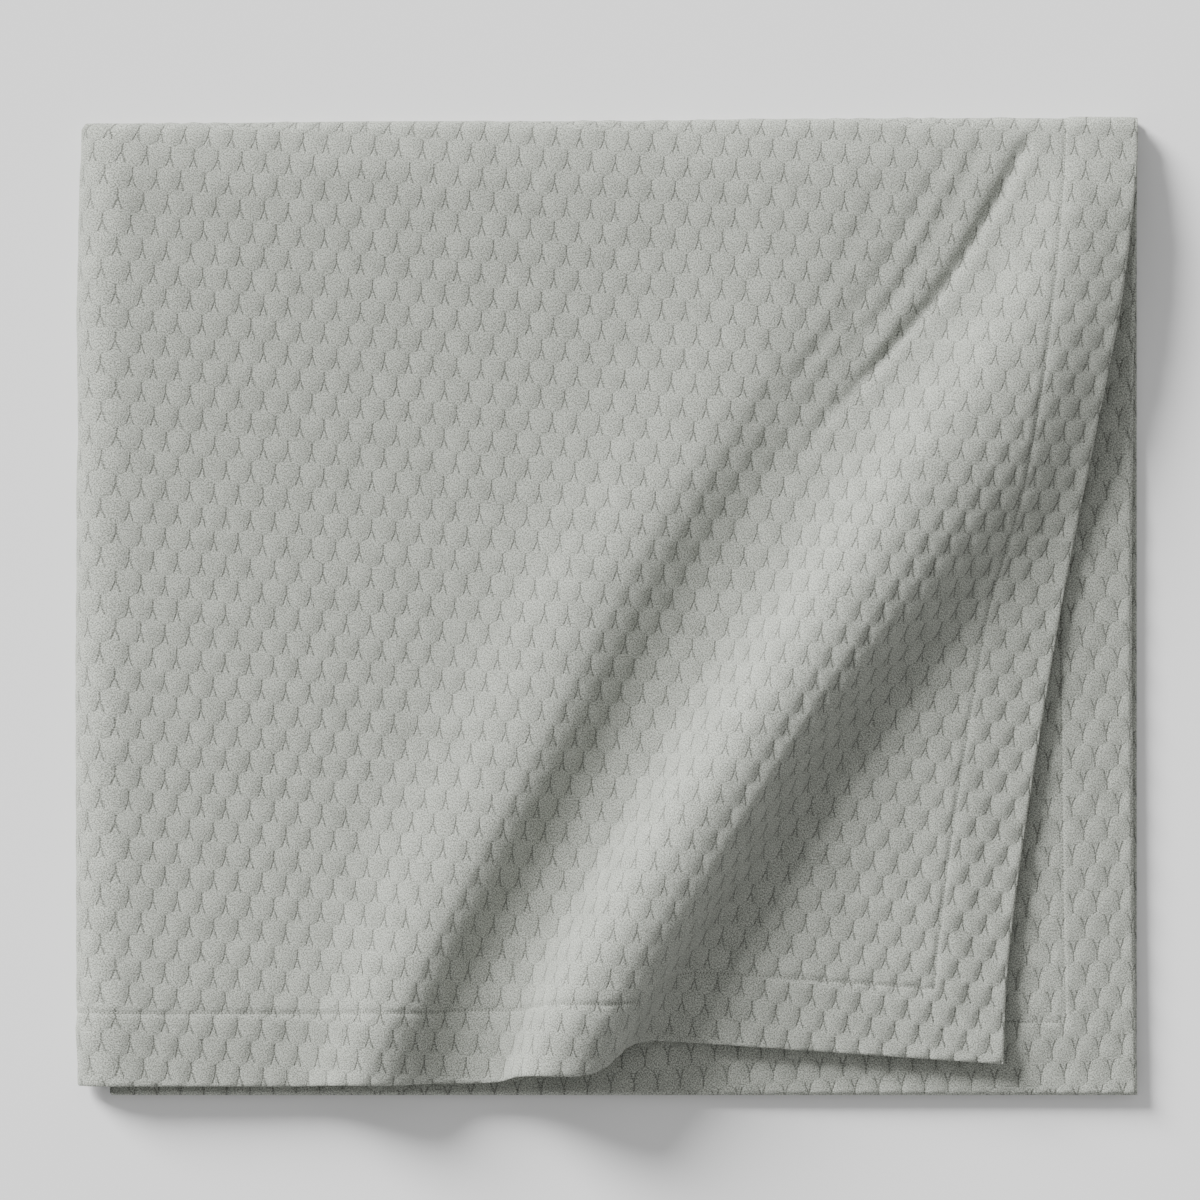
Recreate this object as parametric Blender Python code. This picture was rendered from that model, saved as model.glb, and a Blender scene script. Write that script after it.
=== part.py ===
"""A quilted coverlet folded in four and laid flat, its loose front corner drawn aside into soft folds.

The cloth is one sheet. It is folded over at the top edge, and then its left half is folded behind.
From the surface up its four layers are back outer, back inner, front inner and front outer.
"across" is measured in the cloth from the left fold, and is negative behind it. "down" is measured
from the top fold, and is negative on the inner layers. Lengths are in metres, and +Z is up.
"""

import bmesh
import bpy
import numpy as np

# The folded coverlet as it lies
FOLDED_WIDTH = 1.142
FOLDED_HEIGHT = 1.0513
RIGHT = FOLDED_WIDTH / 2

# The cloth, with its hem turned to the reverse
CLOTH = 0.0028
LEFT = CLOTH / 2 - FOLDED_WIDTH / 2
TOP = FOLDED_HEIGHT / 2 - CLOTH / 2
HEM_WIDTH = 0.079
HEM_TURN = 0.0014
LAYER_GAP = 0.0016
HALF_ACROSS = 1.147
OUTER_DOWN = 1.049
INNER_DOWN = 1.054
OUTER_ROOM = 1.0405
INNER_ROOM = 1.0505

# The woven scales: one every 26 mm, each row half a scale aside from the last
SCALE_PITCH = 0.026
SCALE_RELIEF = 0.0016
STITCH_DEPTH = 0.0012

# Heights of the middle of each layer, pressed together and at the most that it is lofted
BACK_OUTER = CLOTH / 2
BACK_INNER = BACK_OUTER + CLOTH + 2 * HEM_TURN + LAYER_GAP
FRONT_INNER = BACK_INNER + CLOTH + LAYER_GAP
FRONT_OUTER = FRONT_INNER + CLOTH + 2 * HEM_TURN + LAYER_GAP
LOFT_BACK_INNER = 0.0020
LOFT_FRONT_INNER = 0.0050
LOFT_FRONT_OUTER = 0.0180
LOFT_LENGTH = 0.090
LOFT_AT_FOLD = 0.133
SETTLE_LEFT = 0.055
SETTLE_TOP = 0.085

# The folds: how far each one reaches in from its edge, and how far its edge lies inside the outer one
LEFT_ROLL_FRONT = 0.048
LEFT_ROLL_BACK = 0.030
LEFT_ROLL_INNER = 0.0027
INNER_INSET_TOP = 0.009
INNER_INSET_FOOT = 0.034
TOP_ROLL_FRONT = 0.011
TOP_ROLL_BACK = 0.0058
TOP_ROLL_INNER_FRONT = 0.0042
TOP_ROLL_INNER_CORNER = 0.0090
BACK_SHORT = 0.010
LEAST_BEND = 0.0022
TIP_PLACE = 0.42

# Sections across the front layer, from the top fold to the hem. Each row gives, in the flat cloth,
# the foot and crest of the side fold, the valley, the crest and foot of the main fold, how high
# the two folds rise, and how far the hem at the right is drawn in.
SECTION_COLUMNS = (
    "down", "side_foot", "side_crest", "valley", "main_crest", "main_foot",
    "side_rise", "main_rise", "drawn_in",
)
SECTIONS = (
    (0.000, 0.590, 0.850, 1.040, 1.100, 1.260, 0.000, 0.002, 0.000),
    (0.080, 0.560, 0.812, 1.002, 1.092, 1.260, 0.003, 0.014, 0.004),
    (0.194, 0.530, 0.764, 0.936, 1.062, 1.260, 0.009, 0.026, 0.017),
    (0.356, 0.480, 0.684, 0.806, 0.978, 1.230, 0.018, 0.041, 0.047),
    (0.518, 0.415, 0.580, 0.714, 0.893, 1.130, 0.025, 0.051, 0.078),
    (0.680, 0.327, 0.510, 0.623, 0.799, 1.000, 0.029, 0.057, 0.105),
    (0.842, 0.254, 0.425, 0.534, 0.709, 0.918, 0.030, 0.059, 0.129),
    (0.950, 0.230, 0.372, 0.478, 0.654, 0.851, 0.029, 0.057, 0.141),
    (1.049, 0.222, 0.327, 0.452, 0.604, 0.790, 0.025, 0.052, 0.145),
)
CLIMB_SKEW = 1.30
FALL_SKEW = 1.10

# Narrow creases beside the main fold's valley: how far each lies from it across the cloth, where it
# starts and ends down the cloth, its depth and its half width
CREASE_COLUMNS = ("offset", "start", "end", "depth", "half_width")
CREASES = (
    (0.000, 0.010, 0.420, 0.0056, 0.011),
    (-0.045, 0.012, 0.340, 0.0024, 0.012),
    (-0.080, 0.025, 0.420, 0.0018, 0.013),
    (-0.125, 0.040, 0.300, 0.0012, 0.014),
    (0.200, 0.620, 0.900, 0.0012, 0.014),
)
CREASE_START = 0.035

# How far the outline strays from a rectangle: to the right along the left and the right side, for
# heights up the sheet, and upwards along the top, for places across it
STRAY_AT = (-0.52, -0.46, -0.33, -0.07, 0.06, 0.12, 0.19, 0.26, 0.32, 0.39, 0.45, 0.52)
LEFT_STRAY = (
    0.0006, -0.0022, -0.0024, -0.0032, -0.0022, -0.0024,
    -0.0006, -0.0014, -0.0022, -0.0004, 0.0006, 0.0036,
)
RIGHT_STRAY = (
    0.0000, -0.0012, -0.0034, -0.0056, -0.0056, -0.0050,
    -0.0046, -0.0040, -0.0024, -0.0014, -0.0004, 0.0000,
)
TOP_STRAY_AT = (-0.571, -0.40, -0.25, 0.03, 0.14, 0.29, 0.57)
TOP_STRAY = (-0.0048, -0.0036, -0.0020, -0.0018, 0.0000, 0.0012, 0.0018)
SIDE_SHARE = 0.17
MAIN_SHARE = 0.71
HEM_TURNED = 0.068
HEM_LIFTED = 0.024
LIFT_BY_SIDE = 0.05
LIFT_BY_CLIMB = 0.17
LIFT_BY_FALL = 0.78

# How finely the sheet is cut, and how many triangles its plain parts are thinned to
LEFT_FOLD_LINES = (0.0012, 0.0024, 0.0038, 0.008, 0.014, 0.022, 0.032)
TOP_FOLD_LINES = (0.0012, 0.0024, 0.0040, 0.006, 0.009, 0.014, 0.020)
PLAIN_STEP = 0.104
TRIANGLES = 11600


def section_curve(column, down):
    """One column of SECTIONS as a smooth curve, read at each distance down."""
    table = np.array(SECTIONS)
    knots = table[:, 0]
    values = table[:, SECTION_COLUMNS.index(column)]
    slopes = np.gradient(values, knots)
    down = np.clip(down, knots[0], knots[-1])
    i = np.clip(np.searchsorted(knots, down) - 1, 0, len(knots) - 2)
    step = knots[i + 1] - knots[i]
    t = (down - knots[i]) / step
    start = values[i] * (1 + 2 * t) * (1 - t) ** 2 + slopes[i] * step * t * (1 - t) ** 2
    end = values[i + 1] * t**2 * (3 - 2 * t) + slopes[i + 1] * step * t**2 * (t - 1)
    return start + end


def share(value, low, high):
    """How far a value has come from low to high, from 0 to 1."""
    return np.clip((value - low) / (high - low), 0, 1)


def ease(x):
    return x * x * (3 - 2 * x)


def swell(x):
    return (1 - np.cos(np.pi * x)) / 2


def settle(x):
    """A rise that is steepest at its start."""
    return 1 - (1 - x) ** 2


def taken_up(x):
    """How much of a slope's extra cloth is used by x, most of it where the slope is steepest."""
    return x - np.sin(2 * np.pi * x) / (2 * np.pi)


def fold(across, foot, crest, far_foot):
    """The height of one fold, from 0 to 1, and the shares of its climb and its fall that are passed.

    The last value is the share of the fall that is passed at the hem.
    """
    climb = share(across, foot, crest)
    fall = share(across, crest, far_foot)
    at_edge = taken_up(share(HALF_ACROSS, crest, far_foot))
    height = swell(climb**CLIMB_SKEW) * swell((1 - fall) ** FALL_SKEW)
    return height, taken_up(climb), taken_up(fall), at_edge


def creased(across, down):
    """How far the narrow creases dip below the folds."""
    valley = section_curve("valley", down)
    dip = 0 * across
    for offset, start, end, depth, half_width in CREASES:
        begun = ease(share(down, start, start + CREASE_START))
        strength = begun * ease(share(end - down, 0, (end - start) / 2))
        away = (across - valley - offset) / half_width
        dip = dip + depth * strength * np.exp(-away * away)
    return dip


def front_folds(across, down):
    """Rise, shift to the left and shift to the top of the front layer where its corner is drawn aside."""
    at = {column: section_curve(column, down) for column in SECTION_COLUMNS}
    side, side_climb, side_fall, _ = fold(across, at["side_foot"], at["side_crest"], at["valley"])
    main, climb, fall, at_edge = fold(across, at["valley"], at["main_crest"], at["main_foot"])
    rise = at["side_rise"] * side + at["main_rise"] * main
    side_used = (side_climb + side_fall) / 2
    main_used = (climb + fall) / (1 + at_edge)
    even = (1 - SIDE_SHARE - MAIN_SHARE) * np.clip(across / HALF_ACROSS, 0, 1)
    shift_left = at["drawn_in"] * (SIDE_SHARE * side_used + MAIN_SHARE * main_used + even)
    lift = LIFT_BY_SIDE * side_used + LIFT_BY_CLIMB * climb + LIFT_BY_FALL * fall / at_edge
    turned = HEM_TURNED * (HALF_ACROSS - across) + HEM_LIFTED * down / OUTER_DOWN
    shift_up = lift * turned * ease(share(down, 0, 0.2))
    return rise, shift_left, shift_up


def undulation(across, down):
    """The slight unevenness of cloth that lies loose, from -1 to 1."""
    return (
        np.sin(9.0 * across + 3.0 * down + 0.6)
        + np.sin(17.0 * across - 8.0 * down + 2.1)
        + np.sin(5.0 * across + 15.0 * down + 4.0)
    ) / 3


def quarter_ellipse(reach, height):
    """The length of a quarter of an ellipse, by Ramanujan's formula."""
    outer = np.sqrt((3 * reach + height) * (reach + 3 * height))
    return np.pi / 4 * (3 * (reach + height) - outer)


def roll(along, reach, height):
    """Distance in from a fold's edge, and the share of its height, at a length along the cloth."""
    long = quarter_ellipse(reach, height)
    angle = np.pi / 2 * share(along, 0, long)
    return reach * (1 - np.cos(angle)) + np.maximum(along - long, 0), np.sin(angle)


def left_fold(across, tip_x, tip_z, front_z, back_z, front_roll, back_roll):
    """x and z of a layer that goes round the left fold, its front part over its back part."""
    front = across >= 0
    reach = np.where(front, front_roll, back_roll)
    level = np.where(front, front_z, back_z)
    inward, height = roll(np.abs(across), reach, np.abs(level - tip_z))
    far_inward, _ = roll(HALF_ACROSS + 0 * across, reach, np.abs(level - tip_z))
    room = RIGHT - tip_x
    return tip_x + inward * room / far_inward, tip_z + (level - tip_z) * height


def loft(across, down):
    """How far the layers have sprung apart, from 0 at the folds and hems to 1 in the middle."""
    a, d = np.abs(across), np.abs(down)
    from_folds = ease(share(a, 0, LOFT_LENGTH)) * ease(share(d, 0, LOFT_LENGTH))
    from_hems = ease(share(HALF_ACROSS - a, 0, LOFT_LENGTH)) * ease(share(OUTER_DOWN - d, 0, LOFT_LENGTH))
    return from_folds, from_hems


def cloth_point(across, down):
    """The middle of the cloth's thickness, as x, y and z."""
    from_folds, from_hems = loft(across, down)
    uneven = 1 + 0.15 * undulation(across, down)
    open_front = settle(share(np.abs(across), 0, SETTLE_LEFT)) * settle(share(np.abs(down), 0, SETTLE_TOP))
    open_front = open_front * (0.55 + 0.45 * from_hems)
    inner_open = from_folds * from_hems * uneven
    front_outer = FRONT_OUTER + LOFT_FRONT_OUTER * (LOFT_AT_FOLD + (1 - LOFT_AT_FOLD) * open_front * uneven)
    front_inner = FRONT_INNER + LOFT_FRONT_INNER * inner_open
    back_inner = BACK_INNER + LOFT_BACK_INNER * inner_open
    outer_tip = 0.45 * front_outer + 0.55 * BACK_OUTER
    inner_tip = (FRONT_INNER + BACK_INNER) / 2
    inset = INNER_INSET_TOP + (INNER_INSET_FOOT - INNER_INSET_TOP) * np.abs(down) / INNER_DOWN
    outer = left_fold(across, LEFT, outer_tip, front_outer, BACK_OUTER, LEFT_ROLL_FRONT, LEFT_ROLL_BACK)
    bend = LEFT_ROLL_INNER
    inner = left_fold(across, LEFT + inset, inner_tip, front_inner, back_inner, bend, bend)
    tip = [near + TIP_PLACE * (far - near) for near, far in zip(inner, outer)]

    is_outer = down >= 0
    x = np.where(is_outer, outer[0], inner[0])
    z = np.where(is_outer, outer[1], inner[1])
    apart = np.hypot(x - tip[0], z - tip[1])
    front_share = ease(share(across, -0.012, 0.040))
    corner_share = 1 - ease(share(np.abs(across), 0.0, 0.030))
    outer_reach = TOP_ROLL_BACK + (TOP_ROLL_FRONT - TOP_ROLL_BACK) * front_share
    inner_reach = TOP_ROLL_BACK + (TOP_ROLL_INNER_FRONT - TOP_ROLL_BACK) * front_share
    inner_reach = inner_reach + (TOP_ROLL_INNER_CORNER - inner_reach) * corner_share
    reach = np.minimum(np.where(is_outer, outer_reach, inner_reach), apart**2 / LEAST_BEND)
    inward, height = roll(np.abs(down), reach, apart)
    far_inward, _ = roll(np.where(is_outer, OUTER_DOWN, INNER_DOWN), reach, apart)
    x = tip[0] + (x - tip[0]) * height
    z = tip[1] + (z - tip[1]) * height
    y = TOP - inward * np.where(is_outer, OUTER_ROOM, INNER_ROOM) / far_inward

    rise, shift_left, shift_up = front_folds(across, down)
    lifted = is_outer * ease(share(across, 0.0, 0.10)) * ease(share(down, 0.0, 0.10))
    x = x - lifted * shift_left
    y = y + lifted * shift_up
    z = z + lifted * rise - is_outer * creased(across, down)
    behind = ease(share(-across, 0.0, 0.10))
    y = y + behind * BACK_SHORT * np.abs(down) / INNER_DOWN

    a, d = np.abs(across), np.abs(down)
    by_left = 1 - ease(share(a, 0.0, 0.30))
    by_right = ease(share(a, 0.70, 1.0)) * np.where(is_outer, 0, ease(share(d, 0.0, 0.15)))
    x = x + by_left * np.interp(y, STRAY_AT, LEFT_STRAY) + by_right * np.interp(y, STRAY_AT, RIGHT_STRAY)
    y = y + (1 - ease(share(d, 0.0, 0.40))) * np.interp(x, TOP_STRAY_AT, TOP_STRAY)
    return np.stack([x, y, z], axis=-1)


def cloth_normal(across, down, step=0.0004):
    """The direction out of the cloth's face, which is up on the front outer layer."""
    along = cloth_point(across + step, down) - cloth_point(across - step, down)
    below = cloth_point(across, down + step) - cloth_point(across, down - step)
    normal = np.cross(below, along)
    return normal / np.linalg.norm(normal, axis=-1, keepdims=True)


def from_hem_edge(across, down):
    """The distance in from the nearest free edge."""
    below = np.where(down >= 0, OUTER_DOWN - down, INNER_DOWN + down)
    return np.minimum(HALF_ACROSS - np.abs(across), below)


def in_hem(across, down):
    """1 in the hem along the free edges, and 0 in the body of the cloth."""
    return 1.0 * (from_hem_edge(across, down) < HEM_WIDTH - 1e-6)


def scale_relief(columns, rows):
    """High in the middle of each scale and low at the point between two, over the front outer layer."""
    column = np.round(columns / (SCALE_PITCH / 2))
    row = np.round(rows / SCALE_PITCH)
    on_front = (columns > 3 * SCALE_PITCH / 2 - 1e-6) & (rows > SCALE_PITCH / 2)
    edge = from_hem_edge(columns, rows)
    relief = SCALE_RELIEF * np.where((column + row) % 2 == 0, 0.5, -0.5) * (edge > 1e-6)
    return on_front * np.where(np.abs(edge - HEM_WIDTH) < 1e-6, -STITCH_DEPTH, relief)


def both_ways(lines):
    return [-line for line in reversed(lines)] + [0.0] + list(lines)


def cut_lines(behind_half, half, fold_lines, fine_step, first_fine):
    """Where the sheet is cut across one way: coarse behind, close at the fold, and fine in front."""
    hem_line = half - HEM_WIDTH
    behind_hem = HEM_WIDTH - behind_half
    behind = [-behind_half, behind_hem] + list(np.arange(behind_hem + PLAIN_STEP, -0.05, PLAIN_STEP))
    fine = np.arange(first_fine, half - 0.4 * fine_step, fine_step)
    fine = fine[np.abs(fine - hem_line) > 0.2 * fine_step]
    return np.array(sorted(behind + both_ways(fold_lines) + list(fine) + [hem_line, half]))


def sheet_mesh():
    """The closed sheet: a grid for its face, one for its reverse, and a rounded edge round them."""
    columns = cut_lines(HALF_ACROSS, HALF_ACROSS, LEFT_FOLD_LINES, SCALE_PITCH / 2, 3 * SCALE_PITCH / 2)
    rows = cut_lines(INNER_DOWN, OUTER_DOWN, TOP_FOLD_LINES, SCALE_PITCH, SCALE_PITCH)
    across, down = np.meshgrid(columns, rows, indexing="ij")
    middle = cloth_point(across, down)
    normal = cloth_normal(across, down)
    face = middle + normal * (CLOTH / 2 + scale_relief(across, down))[..., None]
    reverse = middle - normal * (CLOTH / 2 + HEM_TURN * in_hem(across, down))[..., None]

    mesh = bmesh.new()
    thin = mesh.verts.layers.deform.verify()
    layers = [
        [[mesh.verts.new(point) for point in line] for line in side]
        for side in (face, reverse)
    ]
    for side, grid in enumerate(layers):
        for i, line in enumerate(grid):
            for j, vert in enumerate(line):
                shown = side == 0 and columns[i] > 0.03 and rows[j] > 0.02
                vert[thin][0] = 0.0 if shown else 1.0
    for i in range(len(columns) - 1):
        for j in range(len(rows) - 1):
            corners = ((i, j), (i, j + 1), (i + 1, j + 1), (i + 1, j))
            mesh.faces.new([layers[0][a][b] for a, b in corners])
            mesh.faces.new([layers[1][a][b] for a, b in reversed(corners)])
    last_i, last_j = len(columns) - 1, len(rows) - 1
    ring = [(i, 0) for i in range(last_i)] + [(last_i, j) for j in range(last_j)]
    ring += [(i, last_j) for i in range(last_i, 0, -1)] + [(0, j) for j in range(last_j, 0, -1)]
    for (a, b), (c, d) in zip(ring, ring[1:] + ring[:1]):
        mesh.faces.new((layers[0][a][b], layers[0][c][d], layers[1][c][d], layers[1][a][b]))
    bmesh.ops.triangulate(mesh, faces=mesh.faces[:])
    bmesh.ops.recalc_face_normals(mesh, faces=mesh.faces[:])
    return mesh


def woven_cotton():
    """Pale grey-green cotton, matt."""
    material = bpy.data.materials.new("woven_cotton")
    material.use_nodes = True
    shader = material.node_tree.nodes["Principled BSDF"]
    shader.inputs["Base Color"].default_value = (0.50, 0.52, 0.48, 1.0)
    shader.inputs["Roughness"].default_value = 0.9
    shader.inputs["Metallic"].default_value = 0.0
    return material


def coverlet():
    """The one piece, over the middle of its base: thinned where it is plain, fine where the scales show."""
    mesh = sheet_mesh()
    points = np.array([vert.co for vert in mesh.verts])
    middle = (points.min(axis=0) + points.max(axis=0)) / 2
    bmesh.ops.translate(mesh, verts=mesh.verts[:], vec=(-middle[0], -middle[1], 0.0))
    data = bpy.data.meshes.new("coverlet")
    mesh.to_mesh(data)
    mesh.free()
    sheet = bpy.data.objects.new("coverlet", data)
    bpy.context.scene.collection.objects.link(sheet)
    sheet.vertex_groups.new(name="plain")
    thinning = sheet.modifiers.new("thinning", "DECIMATE")
    thinning.ratio = min(1.0, TRIANGLES / len(data.polygons))
    thinning.vertex_group = "plain"
    data.materials.append(woven_cotton())
    data.shade_smooth()
    return sheet


for leftover in list(bpy.data.objects):
    bpy.data.objects.remove(leftover)
coverlet()
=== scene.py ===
"""A quilted cotton coverlet, folded in four and laid flat, with its loose corner drawn aside."""

import math

import bpy
import numpy as np
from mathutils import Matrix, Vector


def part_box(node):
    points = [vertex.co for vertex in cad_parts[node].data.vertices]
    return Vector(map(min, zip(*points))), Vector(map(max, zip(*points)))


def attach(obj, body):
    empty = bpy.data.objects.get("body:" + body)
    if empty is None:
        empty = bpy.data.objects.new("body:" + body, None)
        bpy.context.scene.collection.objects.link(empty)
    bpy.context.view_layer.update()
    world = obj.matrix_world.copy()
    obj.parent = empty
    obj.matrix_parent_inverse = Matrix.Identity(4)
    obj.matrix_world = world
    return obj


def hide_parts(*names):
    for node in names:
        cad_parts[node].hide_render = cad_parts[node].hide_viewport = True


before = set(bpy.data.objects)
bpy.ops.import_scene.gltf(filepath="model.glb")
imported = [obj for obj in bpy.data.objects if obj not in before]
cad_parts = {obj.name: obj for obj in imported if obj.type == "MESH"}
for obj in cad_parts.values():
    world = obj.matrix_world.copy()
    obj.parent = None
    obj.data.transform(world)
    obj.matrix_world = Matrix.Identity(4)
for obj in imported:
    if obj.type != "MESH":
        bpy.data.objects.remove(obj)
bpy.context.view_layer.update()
bpy.ops.object.select_all(action="DESELECT")


# The cloth.
# One sheet of quilted cotton, two woven faces over a thin soft layer, with its hem turned to the
# reverse. It is folded over at the top, then its left half is folded behind, and the loose front
# corner is drawn up and to the left, which throws up a tall fold and a low one beside it.
FOLDED_WIDTH = 1.142
FOLDED_HEIGHT = 1.0513
CLOTH = 0.0028
RIGHT = FOLDED_WIDTH / 2
LEFT = CLOTH / 2 - FOLDED_WIDTH / 2
TOP = FOLDED_HEIGHT / 2 - CLOTH / 2
HEM_WIDTH = 0.079
HEM_TURN = 0.0014
LAYER_GAP = 0.0016
HALF_ACROSS = 1.147
OUTER_DOWN = 1.049
INNER_DOWN = 1.054
OUTER_ROOM = 1.0405
INNER_ROOM = 1.0505

# Heights of the middle of each layer, pressed together and at the most that it is lofted
BACK_OUTER = CLOTH / 2
BACK_INNER = BACK_OUTER + CLOTH + 2 * HEM_TURN + LAYER_GAP
FRONT_INNER = BACK_INNER + CLOTH + LAYER_GAP
FRONT_OUTER = FRONT_INNER + CLOTH + 2 * HEM_TURN + LAYER_GAP
LOFT_BACK_INNER = 0.0020
LOFT_FRONT_INNER = 0.0050
LOFT_FRONT_OUTER = 0.0180
LOFT_LENGTH = 0.090
LOFT_AT_FOLD = 0.133
SETTLE_LEFT = 0.055
SETTLE_TOP = 0.085

# The folded edges: how far each reaches in, and how far the inner one lies inside the outer
LEFT_ROLL_FRONT = 0.048
LEFT_ROLL_BACK = 0.030
LEFT_ROLL_INNER = 0.0027
INNER_INSET_TOP = 0.009
INNER_INSET_FOOT = 0.034
TOP_ROLL_FRONT = 0.011
TOP_ROLL_BACK = 0.0058
TOP_ROLL_INNER_FRONT = 0.0042
TOP_ROLL_INNER_CORNER = 0.0090
BACK_SHORT = 0.010
LEAST_BEND = 0.0022
TIP_PLACE = 0.42

# Sections across the front layer, from the top fold to the hem. Each row gives, in the flat cloth,
# the foot and crest of the side fold, the valley, the crest and foot of the main fold, how high
# the two folds rise, and how far the hem at the right is drawn in.
SECTION_COLUMNS = (
    "down", "side_foot", "side_crest", "valley", "main_crest", "main_foot",
    "side_rise", "main_rise", "drawn_in",
)
SECTIONS = (
    (0.000, 0.590, 0.850, 1.040, 1.100, 1.260, 0.000, 0.002, 0.000),
    (0.080, 0.560, 0.812, 1.002, 1.092, 1.260, 0.003, 0.014, 0.004),
    (0.194, 0.530, 0.764, 0.936, 1.062, 1.260, 0.009, 0.026, 0.017),
    (0.356, 0.480, 0.684, 0.806, 0.978, 1.230, 0.018, 0.041, 0.047),
    (0.518, 0.415, 0.580, 0.714, 0.893, 1.130, 0.025, 0.051, 0.078),
    (0.680, 0.327, 0.510, 0.623, 0.799, 1.000, 0.029, 0.057, 0.105),
    (0.842, 0.254, 0.425, 0.534, 0.709, 0.918, 0.030, 0.059, 0.129),
    (0.950, 0.230, 0.372, 0.478, 0.654, 0.851, 0.029, 0.057, 0.141),
    (1.049, 0.222, 0.327, 0.452, 0.604, 0.790, 0.025, 0.052, 0.145),
)
CLIMB_SKEW = 1.30
FALL_SKEW = 1.10

# Narrow creases beside the main fold's valley: how far each lies from it across the cloth, where it
# starts and ends down the cloth, its depth and its half width
CREASES = (
    (0.000, 0.010, 0.420, 0.0056, 0.011),
    (-0.045, 0.012, 0.340, 0.0024, 0.012),
    (-0.080, 0.025, 0.420, 0.0018, 0.013),
    (-0.125, 0.040, 0.300, 0.0012, 0.014),
    (0.200, 0.620, 0.900, 0.0012, 0.014),
)
CREASE_START = 0.035

# How far the outline strays from a rectangle: to the right along the left and the right side, for
# heights up the sheet, and upwards along the top, for places across it
STRAY_AT = (-0.52, -0.46, -0.33, -0.07, 0.06, 0.12, 0.19, 0.26, 0.32, 0.39, 0.45, 0.52)
LEFT_STRAY = (
    0.0006, -0.0022, -0.0024, -0.0032, -0.0022, -0.0024,
    -0.0006, -0.0014, -0.0022, -0.0004, 0.0006, 0.0036,
)
RIGHT_STRAY = (
    0.0000, -0.0012, -0.0034, -0.0056, -0.0056, -0.0050,
    -0.0046, -0.0040, -0.0024, -0.0014, -0.0004, 0.0000,
)
TOP_STRAY_AT = (-0.571, -0.40, -0.25, 0.03, 0.14, 0.29, 0.57)
TOP_STRAY = (-0.0048, -0.0036, -0.0020, -0.0018, 0.0000, 0.0012, 0.0018)
SIDE_SHARE = 0.17
MAIN_SHARE = 0.71
HEM_TURNED = 0.068
HEM_LIFTED = 0.024
LIFT_BY_SIDE = 0.05
LIFT_BY_CLIMB = 0.17
LIFT_BY_FALL = 0.78

# The quilted scales. Each point between two scales has an upright stem, two legs that part below
# it, and two flatter arcs that run out to the points of the next row.
SCALE_PITCH = 0.026
SKEW = 0.072
STEM = ((0.0, 0.0), (0.0, 9.5))
LEG = ((0.0, 9.5), (3.7, 20.5))
ARC = ((3.7, 20.5), (13.0, 26.0))
PUFF = 0.0014
PUFF_REACH = 9.0
ARC_WEIGHT = 0.28
SEAM_DEPTH = 0.0011
SEAM_REACH = 0.0023
EDGE_ROUND = 0.0040
TRIANGLES = 198000


def section_curve(column, down):
    """One column of the sections, as a smooth curve down the cloth."""
    table = np.array(SECTIONS)
    knots = table[:, 0]
    values = table[:, SECTION_COLUMNS.index(column)]
    slopes = np.gradient(values, knots)
    down = np.clip(down, knots[0], knots[-1])
    i = np.clip(np.searchsorted(knots, down) - 1, 0, len(knots) - 2)
    step = knots[i + 1] - knots[i]
    t = (down - knots[i]) / step
    start = values[i] * (1 + 2 * t) * (1 - t) ** 2 + slopes[i] * step * t * (1 - t) ** 2
    end = values[i + 1] * t**2 * (3 - 2 * t) + slopes[i + 1] * step * t**2 * (t - 1)
    return start + end


def share(value, low, high):
    """How far a value has come from low to high, from 0 to 1."""
    return np.clip((value - low) / (high - low), 0, 1)


def ease(x):
    return x * x * (3 - 2 * x)


def swell(x):
    return (1 - np.cos(np.pi * x)) / 2


def settle(x):
    return 1 - (1 - x) ** 2


def taken_up(x):
    return x - np.sin(2 * np.pi * x) / (2 * np.pi)


def fold(across, foot, crest, far_foot):
    """A fold's height, the cloth that its two slopes take up, and what the far one takes up to the hem."""
    climb = share(across, foot, crest)
    fall = share(across, crest, far_foot)
    at_edge = taken_up(share(HALF_ACROSS, crest, far_foot))
    height = swell(climb**CLIMB_SKEW) * swell((1 - fall) ** FALL_SKEW)
    return height, taken_up(climb), taken_up(fall), at_edge


def creased(across, down):
    """How far the narrow creases dip below the folds."""
    valley = section_curve("valley", down)
    dip = 0 * across
    for offset, start, end, depth, half_width in CREASES:
        begun = ease(share(down, start, start + CREASE_START))
        strength = begun * ease(share(end - down, 0, (end - start) / 2))
        away = (across - valley - offset) / half_width
        dip = dip + depth * strength * np.exp(-away * away)
    return dip


def front_folds(across, down):
    """Rise, shift to the left and shift to the top of the front layer."""
    at = {column: section_curve(column, down) for column in SECTION_COLUMNS}
    side, side_climb, side_fall, _ = fold(across, at["side_foot"], at["side_crest"], at["valley"])
    main, climb, fall, at_edge = fold(across, at["valley"], at["main_crest"], at["main_foot"])
    rise = at["side_rise"] * side + at["main_rise"] * main
    side_used = (side_climb + side_fall) / 2
    main_used = (climb + fall) / (1 + at_edge)
    even = (1 - SIDE_SHARE - MAIN_SHARE) * np.clip(across / HALF_ACROSS, 0, 1)
    shift_left = at["drawn_in"] * (SIDE_SHARE * side_used + MAIN_SHARE * main_used + even)
    lift = LIFT_BY_SIDE * side_used + LIFT_BY_CLIMB * climb + LIFT_BY_FALL * fall / at_edge
    turned = HEM_TURNED * (HALF_ACROSS - across) + HEM_LIFTED * down / OUTER_DOWN
    shift_up = lift * turned * ease(share(down, 0, 0.2))
    return rise, shift_left, shift_up


def undulation(across, down):
    """A slow unevenness over the whole cloth, from -1 to 1."""
    return (
        np.sin(9.0 * across + 3.0 * down + 0.6)
        + np.sin(17.0 * across - 8.0 * down + 2.1)
        + np.sin(5.0 * across + 15.0 * down + 4.0)
    ) / 3


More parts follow.
